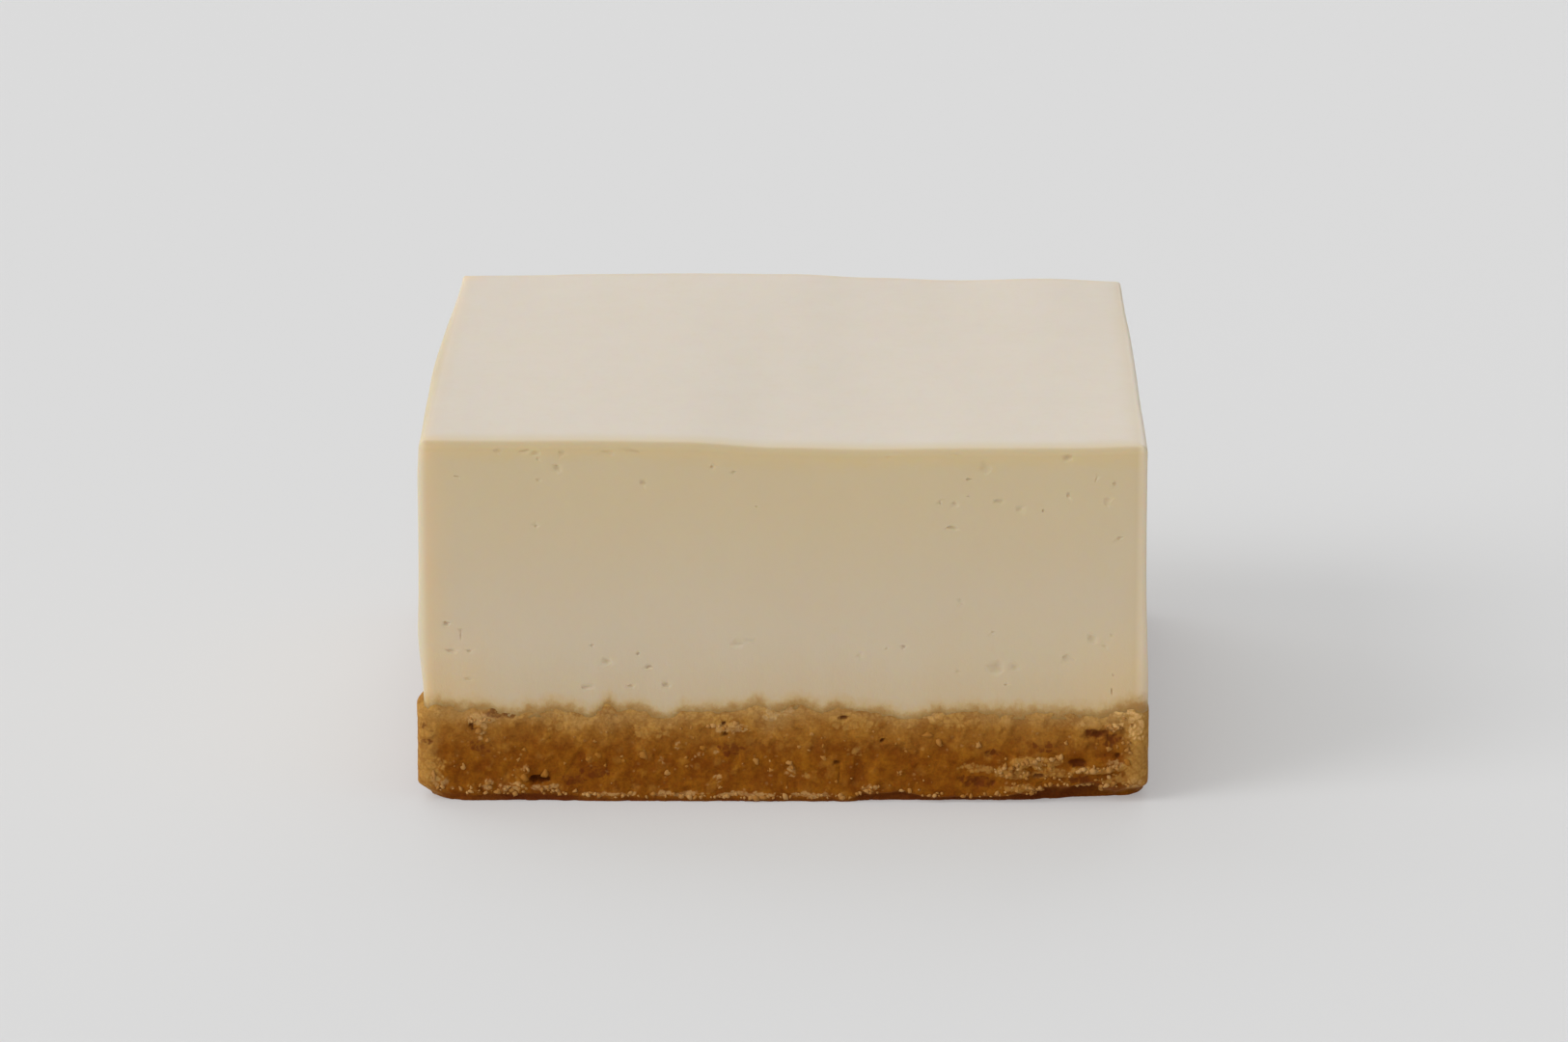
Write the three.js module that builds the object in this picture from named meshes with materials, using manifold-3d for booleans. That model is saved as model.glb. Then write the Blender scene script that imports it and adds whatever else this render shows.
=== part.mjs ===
// A square slice of plain baked cheesecake, cut from a tray: a smooth block of cheese filling on a pressed biscuit
// crumb base. Millimetres, +Z up. The origin is on the table under the middle of the slice, and the cut side
// with the named marks, its front, faces -Y.

import * as THREE from "three";
import { ImprovedNoise } from "three/addons/math/ImprovedNoise.js";
import { mergeVertices } from "three/addons/utils/BufferGeometryUtils.js";
import Module from "manifold-3d";

const wasm = await Module();
wasm.setup();

// Driving sizes of the whole slice
const halfSide = 34; // half of the slice's side, at its top edge
const sliceHeight = 34.9; // from the table to the middle of the top
const baseHeight = 9.4; // from the table to the seam under the filling
const topFall = 0.5; // how much lower the top is at its right edge than at its left
const seamGap = 0.1; // left free between the filling and the crumb

// The filling
const flare = 0.35; // how far the filling stands out at its foot, past its top edge
const fillingWave = 0.1; // how far the knife wandered
const edgeRound = 0.3; // rounding of the top edge

// The crumb base
const overhang = 0.7; // how far the crumb stands out past the filling's top edge
const footInset = 1.3; // width of the worn strip round the flat underside
const footLift = 0.35; // height of the worn lower edge above the table
const cornerWear = 0.5; // how far the crumb's upright corners are worn back
const craggy = 0.6; // depth of the relief between crumbs

// How finely the faces are divided
const sidePoints = 56; // points along each side of the square
const ringPoints = 4 * sidePoints;
const crumbRows = 9; // rows of points up the side of the base
const hiddenRings = [0.5, 0.85]; // where the covered faces are divided, as shares of the way out from the middle

// Where the seam runs higher or lower along the front, in millimetres from the middle: place, rise and reach.
const seamBumps = [
  { x: -32.5, rise: 0.7, reach: 2.6 },
  { x: -21.5, rise: 0.4, reach: 1.6 },
  { x: -15.8, rise: 0.7, reach: 1.8 },
  { x: -10.8, rise: -0.8, reach: 2.0 },
  { x: 12.4, rise: -0.7, reach: 2.6 },
  { x: 32.5, rise: 0.9, reach: 2.8 },
];

// Marks on the front of the base: where they are, their half sizes, and how far they stand out or sink in.
const baseMarks = [
  { mark: "missing crumb", x: -22.9, z: 2.3, wide: 1.5, high: 0.8, out: -1.0 },
  { mark: "first ledge", x: 23.2, z: 4.0, wide: 4.4, high: 0.9, out: 0.5 },
  { mark: "second ledge", x: 29.4, z: 3.0, wide: 3.6, high: 0.7, out: 0.4 },
  { mark: "hollow between the ledges", x: 27.6, z: 4.4, wide: 2.2, high: 0.8, out: -0.8 },
  { mark: "hollow under the corner crumbs", x: 30.0, z: 6.1, wide: 2.6, high: 1.0, out: -1.0 },
  { mark: "corner crumbs", x: 31.0, z: 7.6, wide: 2.0, high: 0.7, out: 0.4 },
  { mark: "worn lower edge", x: 29.0, z: 0.4, wide: 4.0, high: 0.9, out: -0.8 },
];

// The larger bubbles that the knife opened on the front: place, half width and half height.
const frontPits = [
  { x: -31.4, z: 16.9, wide: 0.5, high: 0.35 },
  { x: -23.0, z: 33.7, wide: 0.5, high: 0.3 },
  { x: -21.1, z: 32.3, wide: 0.6, high: 0.35 },
  { x: -16.6, z: 13.6, wide: 0.8, high: 0.35 },
  { x: -12.6, z: 13.1, wide: 0.6, high: 0.3 },
  { x: -4.6, z: 32.0, wide: 0.5, high: 0.3 },
  { x: -3.8, z: 15.4, wide: 1.2, high: 0.4 },
  { x: 11.2, z: 15.2, wide: 0.5, high: 0.35 },
  { x: 15.6, z: 26.5, wide: 0.6, high: 0.35 },
  { x: 17.5, z: 31.4, wide: 0.5, high: 0.3 },
  { x: 19.6, z: 13.3, wide: 1.2, high: 0.6 },
  { x: 20.1, z: 29.2, wide: 0.5, high: 0.3 },
  { x: 26.2, z: 33.4, wide: 0.7, high: 0.4 },
  { x: 26.2, z: 14.0, wide: 0.6, high: 0.35 },
  { x: 28.6, z: 15.8, wide: 0.6, high: 0.35 },
];
const pitsPerSide = 9; // on each of the other three sides
const pitDepth = 0.45;

const noise = new ImprovedNoise();

// A smooth random value between about -1 and 1, which changes over lumps of the given size.
function lumps(x, y, z, size) {
  return noise.noise(x / size + 31.7, y / size + 17.3, z / size + 5.1);
}

// 1 at the middle of a bump, falling to 0 at its edge.
function bump(distance) {
  const d = Math.min(Math.abs(distance), 1);
  return (1 - d * d) ** 2;
}

function nearFront(y) {
  return bump((y + halfSide) / 6);
}

function topHeight(x, y) {
  return sliceHeight - (topFall * x) / (2 * halfSide) + 0.1 * lumps(x, y, 0, 17);
}

function seamHeight(x, y) {
  const uneven = 0.45 * lumps(x, y, 9, 6) + 0.3 * lumps(x, y, 3, 2.3);
  const front = seamBumps.reduce((sum, b) => sum + b.rise * bump((x - b.x) / b.reach), 0);
  return baseHeight + uneven + front * nearFront(y);
}

// Point i of the square plan for a slice of half side 1, with the way out of the slice there. The points run
// along the front from its left end, then round by the right side; a corner is pushed out both ways.
function planPoint(i) {
  const normals = [[0, -1], [1, 0], [0, 1], [-1, 0]];
  const out = new THREE.Vector2(...normals[Math.floor(i / sidePoints) % 4]);
  const along = new THREE.Vector2(-out.y, out.x);
  const step = i % sidePoints;
  const point = out.clone().addScaledVector(along, (2 * step) / sidePoints - 1);
  if (step === 0) out.sub(along);
  return { point, out };
}

// Point i of a ring that stands out by offset from the square of half side 34.
function ringPoint(i, offset) {
  const { point, out } = planPoint(i);
  return point.multiplyScalar(halfSide).addScaledVector(out, offset);
}

// A lathe bent to the square plan. Each row says where its point i lies, and the two end rows are at the middle.
// The lathe splits each of its four-sided faces along one diagonal; crossed takes the other one.
function squareLathe(rows, crossed = false) {
  const last = rows.length - 1;
  const profile = rows.map((_, j) => new THREE.Vector2(j % last ? 1 : 0, j));
  const geometry = new THREE.LatheGeometry(profile, ringPoints);
  geometry.deleteAttribute("normal");
  geometry.deleteAttribute("uv");
  const { array } = geometry.index;
  for (let n = 0; crossed && n < array.length; n += 6) {
    const [a, b, d, c] = array.slice(n, n + 4);
    array.set([a, b, c, a, c, d], n);
  }
  const { position } = geometry.attributes;
  for (let n = 0; n < position.count; n++) {
    const place = rows[n % rows.length];
    position.setXYZ(n, ...place(Math.floor(n / rows.length) % ringPoints).toArray());
  }
  return mergeVertices(geometry);
}

// The rows of a face that the slice's other layer covers, at a height that depends on the place.
function coveredRows(height) {
  const middle = () => new THREE.Vector3(0, 0, height(0, 0));
  const rings = hiddenRings.map((share) => (i) => {
    const { x, y } = ringPoint(i, 0).multiplyScalar(share);
    return new THREE.Vector3(x, y, height(x, y));
  });
  return [middle, ...rings];
}

// The side of the filling, from its foot at share 0 to its top edge at share 1.
function fillingSide(i, share) {
  const { x, y } = ringPoint(i, 0);
  const low = seamHeight(x, y);
  const z = THREE.MathUtils.lerp(low, topHeight(x, y), share);
  const wander = fillingWave * lumps(x, y, z, 12);
  const p = ringPoint(i, flare * (1 - share) + wander * 4 * share * (1 - share));
  return new THREE.Vector3(p.x, p.y, share === 0 ? seamHeight(p.x, p.y) : z);
}

function fillingGeometry() {
  const lift = (row) => (i) => row(i).add(new THREE.Vector3(0, 0, seamGap));
  const under = coveredRows((x, y) => seamHeight(x, y) + seamGap);
  const foot = lift((i) => fillingSide(i, 0));
  const side = [0.3, 0.65].map((share) => (i) => fillingSide(i, share));
  const edge = (offset, drop) => (i) => {
    const { x, y } = ringPoint(i, offset);
    return new THREE.Vector3(x, y, topHeight(x, y) - drop);
  };
  const inner = (i) => {
    const { x, y } = ringPoint(i, 0).multiplyScalar(hiddenRings[0]);
    return new THREE.Vector3(x, y, topHeight(x, y));
  };
  const middle = () => new THREE.Vector3(0, 0, topHeight(0, 0));
  return squareLathe([...under, foot, ...side, edge(0, edgeRound), edge(-edgeRound, 0), inner, middle]);
}

// How far the crumb stands out at a share of the way up its side: worn in at the foot, tucked in at the seam.
function crumbProfile(share) {
  const foot = overhang * bump(1 - Math.min(share / 0.18, 1));
  const tuck = (overhang - flare) * THREE.MathUtils.smoothstep(share, 0.8, 1);
  return foot - tuck - (share < 0.1 ? 0.3 : 0);
}

// The relief between the crumbs at a point of the side, with the named marks where it is the front.
function crumbRelief(x, y, z) {
  const crags = craggy * (lumps(x, y, z, 2.3) + lumps(x, y, z + 40, 0.97));
  const marks = baseMarks.reduce(
    (sum, m) => sum + m.out * bump((x - m.x) / m.wide) * bump((z - m.z) / m.high),
    0,
  );
  return crags + marks * nearFront(y);
}

function distanceToCorner(i) {
  const step = i % sidePoints;
  return (Math.min(step, sidePoints - step) * 2 * halfSide) / sidePoints;
}

function crumbSide(i, share) {
  const flat = ringPoint(i, overhang);
  const foot = footLift * (1 + lumps(flat.x, flat.y, 70, 3));
  const z = THREE.MathUtils.lerp(foot, seamHeight(flat.x, flat.y) - 0.25, share);
  const rough = crumbRelief(flat.x, flat.y, z) - cornerWear * bump(distanceToCorner(i) / 2.6);
  const p = ringPoint(i, crumbProfile(share) + rough * (1 - THREE.MathUtils.smoothstep(share, 0.85, 1)));
  return new THREE.Vector3(p.x, p.y, z);
}

function crumbGeometry() {
  const middle = () => new THREE.Vector3(0, 0, 0);
  const flat = (i) => {
    const { x, y } = ringPoint(i, 0).multiplyScalar(1 - footInset / halfSide);
    return new THREE.Vector3(x, y, 0);
  };
  const side = Array.from({ length: crumbRows }, (_, k) => (i) => crumbSide(i, k / (crumbRows - 1)));
  const seam = (i) => fillingSide(i, 0);
  // Crossed, because the filling's underside is seen from the other side and has to be split alike.
  return squareLathe([middle, flat, ...side, seam, ...coveredRows(seamHeight).reverse()], true);
}

function solid(geometry) {
  const vertProperties = geometry.attributes.position.array;
  return new wasm.Manifold(
    new wasm.Mesh({ numProp: 3, vertProperties, triVerts: new Uint32Array(geometry.index.array) }),
  );
}

function geometryOf(made) {
  const { vertProperties, triVerts } = made.getMesh();
  const geometry = new THREE.BufferGeometry();
  geometry.setAttribute("position", new THREE.BufferAttribute(vertProperties, 3));
  geometry.setIndex(new THREE.BufferAttribute(triVerts, 1));
  return geometry;
}

// Bubbles on the sides out of sight: spread by seeded draws, more of them near the top and the seam.
function otherPits(side) {
  THREE.MathUtils.seededRandom(40 + side);
  const draw = (low, high) => THREE.MathUtils.lerp(low, high, THREE.MathUtils.seededRandom());
  return Array.from({ length: pitsPerSide }, (_, n) => ({
    x: ((n + draw(0.2, 0.8)) / pitsPerSide - 0.5) * 2 * (halfSide - 2),
    z: n % 2 ? draw(12, 17) : draw(27, 33.5),
    wide: draw(0.45, 0.9),
    high: draw(0.3, 0.45),
  }));
}

// One bubble, cut open: a squashed ball, half in the side of the filling.
function pitGeometry(pit, side) {
  const geometry = new THREE.SphereGeometry(1, 6, 4);
  geometry.deleteAttribute("normal");
  geometry.deleteAttribute("uv");
  const share = (pit.z - baseHeight) / (sliceHeight - baseHeight);
  geometry.scale(pit.wide, pitDepth, pit.high);
  geometry.translate(pit.x, -halfSide - flare * (1 - share), pit.z);
  geometry.rotateZ((side * Math.PI) / 2);
  return mergeVertices(geometry);
}

function fillingWithPits() {
  const pits = [frontPits, ...[1, 2, 3].map(otherPits)];
  const cutters = pits.flatMap((list, side) => list.map((pit) => solid(pitGeometry(pit, side))));
  return geometryOf(cutters.reduce((made, cutter) => made.subtract(cutter), solid(fillingGeometry())));
}

const filling = new THREE.Mesh(
  fillingWithPits(),
  new THREE.MeshStandardMaterial({ color: "#dcc8a4", roughness: 0.5, metalness: 0 }),
);
filling.name = "cheese_filling";

const base = new THREE.Mesh(
  crumbGeometry(),
  new THREE.MeshStandardMaterial({ color: "#8a5a22", roughness: 0.85, metalness: 0 }),
);
base.name = "crumb_base";

const slice = new THREE.Group();
slice.add(base, filling);

export default slice;
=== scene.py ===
# A square slice of plain baked cheesecake: the looks of its filling and of the pressed crumb under it.
# Shapes are worked out in millimetres and brought to metres as each mesh is finished.
import math
import random

import bmesh
import bpy
from mathutils import Matrix, Vector, noise


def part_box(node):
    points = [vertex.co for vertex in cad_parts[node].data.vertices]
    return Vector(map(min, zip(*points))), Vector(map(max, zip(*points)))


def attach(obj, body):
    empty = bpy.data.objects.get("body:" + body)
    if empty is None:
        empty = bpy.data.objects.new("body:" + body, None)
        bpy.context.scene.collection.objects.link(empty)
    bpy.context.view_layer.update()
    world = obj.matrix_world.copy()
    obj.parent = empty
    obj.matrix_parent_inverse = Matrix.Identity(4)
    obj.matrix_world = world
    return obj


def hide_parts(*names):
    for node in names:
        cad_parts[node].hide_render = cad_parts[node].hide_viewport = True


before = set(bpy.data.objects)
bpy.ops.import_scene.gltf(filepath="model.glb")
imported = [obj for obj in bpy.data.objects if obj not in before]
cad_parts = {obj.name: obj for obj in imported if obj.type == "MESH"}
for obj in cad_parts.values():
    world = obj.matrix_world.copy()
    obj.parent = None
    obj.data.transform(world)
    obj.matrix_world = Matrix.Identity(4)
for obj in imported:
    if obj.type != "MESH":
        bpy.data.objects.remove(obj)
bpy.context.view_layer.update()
mm = 0.001
cheeseLow, cheeseHigh = (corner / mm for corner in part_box("cheese_filling"))
print("frame loaded:", sorted(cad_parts))

# The whole slice
slab = {
    "flare": 0.35,  # how far the filling spreads at its foot
    "seam": 9.35,  # mean height where filling meets crumb
    "crest": 0.4,  # how far the solid's top stands over the mean height of the top
    "frontCalm": 0.65,  # how much calmer the random lumps of the seam are on the front
}
slab["side"] = (cheeseHigh.x - cheeseLow.x) / 2 - slab["flare"]
slab["top"] = cheeseHigh.z - slab["crest"]

# Lumps that lift or lower the seam on the front: (x, rise, reach)
frontSeam = [
    (-34.3, 1.3, 0.8),
    (-32.6, 0.6, 1.8),
    (-31.0, 0.5, 0.9),
    (-28.8, 0.3, 1.6),
    (-25.2, -0.5, 1.5),
    (-21.6, 0.5, 1.5),
    (-18.1, -0.6, 1.3),
    (-16.2, 0.9, 1.1),
    (-14.2, 0.3, 1.4),
    (-11.0, -0.8, 1.8),
    (-3.9, 0.2, 1.6),
    (-2.4, 0.7, 1.4),
    (-0.9, 0.3, 1.5),
    (1.4, 0.8, 2.2),
    (5.3, 0.5, 1.8),
    (11.9, -0.9, 2.6),
    (15.6, -0.3, 1.8),
    (29.2, -0.3, 2.2),
    (33.2, 0.7, 2.6),
]

# How much the top stands over its mean height: (x, rise of the front edge, rise of the back edge)
topEdges = [
    (-34, 0.05, 0.25),
    (-28, 0, 0.3),
    (-19, 0.05, 0.5),
    (-10, 0, 0.6),
    (0, -0.55, 0.55),
    (8, -0.7, 0.2),
    (17, -0.55, -0.05),
    (26, -0.5, 0.15),
    (34, -0.3, -0.15),
]


# Soft noise about nought, in lumps of a size in millimetres
def lumps(point, size, seed=0.0):
    return noise.noise(point / size + Vector((seed, seed * 1.7, seed * 0.6)))


# Goes softly from 0 at the low value to 1 at the high one
def ease(value, low, high):
    share = min(max((value - low) / (high - low), 0.0), 1.0)
    return share * share * (3 - 2 * share)


# A round bump: 1 at no distance, 0 from 1 on
def bump(distance):
    return max(1 - distance * distance, 0.0) ** 2


# Values of a table at a place, eased between its rows, each of which starts with its own place
def between(rows, place):
    for low, high in zip(rows, rows[1:]):
        if place <= high[0]:
            break
    share = ease(place, low[0], high[0])
    return [a + (b - a) * share for a, b in zip(low[1:], high[1:])]


# 1 at the front, 0 further back
def nearFront(point):
    return ease(-point.y, slab["side"] - 5, slab["side"] - 1)


# Height of the seam under the filling: random on the sides, as photographed on the front
def seamHeight(point):
    flat = Vector((point.x, point.y, 0))
    front = nearFront(point)
    rise = (1 - slab["frontCalm"] * front) * (0.5 * lumps(flat, 6) + 0.4 * lumps(flat, 2.3))
    rise += 0.2 * lumps(flat, 0.9)
    rise += front * sum(up * bump((point.x - x) / reach) for x, up, reach in frontSeam)
    return slab["seam"] + rise


# Wraps a socket, so that maths on values is written as it reads
class Wire:
    def __init__(self, finish, socket):
        self.finish = finish
        self.socket = socket

    def maths(self, operation, *values):
        return self.finish.add("ShaderNodeMath", {"operation": operation}, dict(enumerate(values)))

    def __add__(self, other):
        return self.maths("ADD", self, other)

    def __radd__(self, other):
        return self.maths("ADD", other, self)

    def __sub__(self, other):
        return self.maths("SUBTRACT", self, other)

    def __rsub__(self, other):
        return self.maths("SUBTRACT", other, self)

    def __mul__(self, other):
        return self.maths("MULTIPLY", self, other)

    def __rmul__(self, other):
        return self.maths("MULTIPLY", other, self)

    def __abs__(self):
        return self.maths("ABSOLUTE", self)

    def least(self, other):
        return self.maths("MINIMUM", self, other)

    def most(self, other):
        return self.maths("MAXIMUM", self, other)

    def between(self, low, high):
        sockets = {"Value": self, "From Min": low, "From Max": high}
        return self.finish.add("ShaderNodeMapRange", {"interpolation_type": "SMOOTHSTEP"}, sockets)


# One material: adds its nodes and hands their outputs on as wires
class Finish:
    def __init__(self, name):
        self.material = bpy.data.materials.new(name)
        self.material.use_nodes = True
        self.tree = self.material.node_tree
        self.tree.nodes.clear()
        place = self.add("ShaderNodeTexCoord", out="Object")
        sockets = {"Vector": place, "Scale": 1 / mm}
        self.point = self.add("ShaderNodeVectorMath", {"operation": "SCALE"}, sockets)
        self.x, self.y, self.z = (self.along(axis) for axis in "XYZ")

    # Adds one node: its settings first, then the values or links of its sockets
    def add(self, kind, settings=None, sockets=None, out=0):
        node = self.tree.nodes.new(kind)
        for name, value in (settings or {}).items():
            setattr(node, name, value)
        for name, value in (sockets or {}).items():
            if isinstance(value, Wire):
                self.tree.links.new(value.socket, node.inputs[name])
            else:
                node.inputs[name].default_value = value
        return Wire(self, node.outputs[out] if node.outputs else None)

    def along(self, axis):
        return self.add("ShaderNodeSeparateXYZ", sockets={"Vector": self.point}, out=axis)

    def mix(self, factor, first, second, blend="MIX"):
        settings = {"data_type": "RGBA", "blend_type": blend}
        return self.add("ShaderNodeMix", settings, {0: factor, 6: first, 7: second}, out=2)

    def warp(self, size, reach):
        sockets = {"Vector": self.point, "Scale": 1 / size}
        push = self.add("ShaderNodeTexNoise", sockets=sockets, out="Color")
        centred = self.add("ShaderNodeVectorMath", {"operation": "SUBTRACT"}, {0: push, 1: (0.5,) * 3})
        sockets = {0: centred, 1: (2 * reach,) * 3, 2: self.point}
        return self.add("ShaderNodeVectorMath", {"operation": "MULTIPLY_ADD"}, sockets)

    def stretched(self, x, y, z):
        sockets = {0: self.point, 1: (x, y, z)}
        return self.add("ShaderNodeVectorMath", {"operation": "MULTIPLY"}, sockets)

    def grain(self, size, detail=2.0, rough=0.5, point=None):
        sockets = {"Vector": point or self.point, "Scale": 1 / size}
        sockets.update({"Detail": detail, "Roughness": rough})
        return self.add("ShaderNodeTexNoise", {}, sockets, out="Fac")

    def cells(self, size, point=None, feature="F1", out="Distance"):
        sockets = {"Vector": point or self.point, "Scale": 1 / size}
        return self.add("ShaderNodeTexVoronoi", {"feature": feature}, sockets, out=out)

    def cellTone(self, size, point=None):
        colour = self.cells(size, point, out="Color")
        return self.add("ShaderNodeSeparateColor", sockets={"Color": colour}, out="Red")

    def attribute(self, name):
        return self.add("ShaderNodeAttribute", {"attribute_name": name}, out="Fac")

    def bumpMap(self, height, depth):
        return self.add("ShaderNodeBump", sockets={"Height": height, "Distance": depth * mm})

    def close(self, colour, roughness, normal, fixed):
        sockets = {"Base Color": colour, "Roughness": roughness, "Normal": normal}
        sockets.update(fixed)
        shader = self.add("ShaderNodeBsdfPrincipled", sockets=sockets)
        self.add("ShaderNodeOutputMaterial", sockets={"Surface": shader})
        return self.material


# Keeps one number for each vertex, for a material to read
def keep(mesh, name, values):
    mesh.attributes.new(name, "FLOAT", "POINT").data.foreach_set("value", values)


# Brings a bmesh in millimetres to an object in metres
def makePiece(name, bm, material):
    bmesh.ops.scale(bm, vec=(mm, mm, mm), verts=bm.verts)
    mesh = bpy.data.meshes.new(name)
    bm.to_mesh(mesh)
    bm.free()
    mesh.shade_smooth()
    mesh.materials.append(material)
    piece = bpy.data.objects.new(name, mesh)
    bpy.context.scene.collection.objects.link(piece)
    return piece


# The photograph's viewpoint: place in metres, angles in degrees, lens and sensor in millimetres
viewpoint = {
    "place": (0.00893, -0.677, 0.200),
    "pitch": 15.03,
    "yaw": 0.78,
    "lens": 164.0,
    "sensor": 36,
}


def makeCamera():
    camera = bpy.data.objects.new("camera", bpy.data.cameras.new("camera"))
    camera.location = viewpoint["place"]
    pitch, yaw = (math.radians(viewpoint[angle]) for angle in ("pitch", "yaw"))
    camera.rotation_euler = (math.pi / 2 - pitch, 0, yaw)
    camera.data.lens = viewpoint["lens"]
    camera.data.sensor_width = viewpoint["sensor"]
    camera.data.clip_start = 0.01
    camera.data.clip_end = 20
    bpy.context.scene.collection.objects.link(camera)
    bpy.context.scene.camera = camera


studio = {
    "floorReach": 4.0,  # metres from the middle to an edge of the floor
    "floorTone": 0.50,
    "floorRoughness": 0.9,
    "floorGlow": 0.262,  # light that comes through the pale floor from all round
    "fill": 0.40,
    "post": 35,  # height in millimetres of a post in the middle, by whose shadow the lamps are placed
}

# Each lamp: where the post's shadow would end, in millimetres, its strength, and its spread in degrees
lamps = {
    "key": ((46, 24), 1.08, 34),
    "front": ((48, 83), 0.89, 80),
    "back": ((26, -71), 1.23, 80),
}


def addLamp(name):
    run, strength, spread = lamps[name]
    lamp = bpy.data.lights.new(name, "SUN")
    lamp.energy = strength
    lamp.angle = math.radians(spread)
    holder = bpy.data.objects.new(name, lamp)
    holder.rotation_euler = Vector((*run, -studio["post"])).to_track_quat("-Z", "Y").to_euler()
    bpy.context.scene.collection.objects.link(holder)


def makeStudio():
    bm = bmesh.new()
    bmesh.ops.create_grid(bm, x_segments=1, y_segments=1, size=studio["floorReach"] / mm)
    paper = Finish("floorPaper")
    tone = studio["floorTone"]
    glow = {
        "Specular IOR Level": 0.1,
        "Emission Color": (1, 1, 1, 1),
        "Emission Strength": studio["floorGlow"],
    }
    finish = paper.close((tone, tone, tone, 1), studio["floorRoughness"], (0, 0, 0), glow)
    floor = makePiece("floor", bm, finish)
    for name in lamps:
        addLamp(name)
    world = bpy.data.worlds.new("studio")
    world.use_nodes = True
    shade = world.node_tree.nodes["Background"].inputs
    shade["Color"].default_value = (1, 1, 1, 1)
    shade["Strength"].default_value = studio["fill"]
    bpy.context.scene.world = world
    bpy.context.scene.view_settings.view_transform = "Standard"


cheese = {
    "foot": 7.6,  # where the wall ends, tucked behind the crumbs
    "spreadHeight": 14,  # the flare fades out over this height above the seam
    "leftTaper": 0.75,  # how far the left side draws in just above the seam
    "taperHeight": 7.5,
    "leftShoulder": 0.2,  # how far it draws in at the top
    "shoulderHeight": 4,
    "leftBow": 0.45,  # how far its top bows out midway
    "bowHeight": 12,
    "bowReach": 38,
    "backTaper": 0.3,  # how far the sides draw in toward the back
    "tuck": 1.2,  # how far the foot lies in behind the crumbs, over a height as large
    "waveSize": 13,
    "waveHeight": 0.09,
    "rippleSize": 3.2,
    "rippleHeight": 0.025,
    "edgeRound": 0.7,
    "sharpAngle": 50,
    "gridStep": 0.7,
    "pitsPerSide": 48,
    "pitWidths": (0.25, 1.0),
    "frontPitsAdded": 10,
    "frontPitWidths": (0.25, 0.5),
    "pitReach": 32.8,  # how far along a side the bubbles lie
    "highPits": (34.6, 9),  # height of the uppermost bubbles, and how far down they spread
    "lowPits": (11, 6),  # height of the lowest ones, and how far up they spread
    "pitDepth": 1.7,  # the bubbles are this many times as deep as listed
    "pitBall": 0.7,  # radius of a ball whose cap opens 1 mm wide in the wall
    "pitThick": 4.76,  # how much the ball is stretched into the wall, for each millimetre of depth
    "pitOut": 2.33,  # how far outside the wall its middle lies, for each millimetre of depth
    "pitRough": 0.35,
    "pitTilt": 0.25,  # in radians, at most
    # the bubbles' painted shade grows with their depth, as set below
    "pitShade": (0.01, 0.16),  # the depths at which a bubble's tint starts and is full
    "roughness": 0.42,
    "bumpDepth": 0.04,
    "cream": (0.63, 0.525, 0.375, 1),
    "skin": (0.686, 0.598, 0.484, 1),
    "butter": (0.64, 0.51, 0.28, 1),
    "glow": (0.74, 0.54, 0.29, 1),
    "haze": (0.60, 0.57, 0.46, 1),
    # painted light on the right vertical corners, which lie in shade
    "shadedCornerLight": (0.86, 0.74, 0.56, 1),
    # painted shade on the rounded top edges, most on the left one, which the key light catches
    "edge": (0.54, 0.45, 0.27, 1),
    # painted light on the right top edge, which lies in shade
    "rightEdgeLight": (0.90, 0.81, 0.67, 1),
    "cloud": (0.64, 0.49, 0.30, 1),
    "speckle": (0.60, 0.46, 0.26, 1),
    # painted shade in the torn bubbles
    "pit": (0.42, 0.30, 0.13, 1),
    "smear": (0.57, 0.37, 0.13, 1),
    "mingled": (0.41, 0.21, 0.045, 1),  # where crumbs show through the foot of the filling
}

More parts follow.
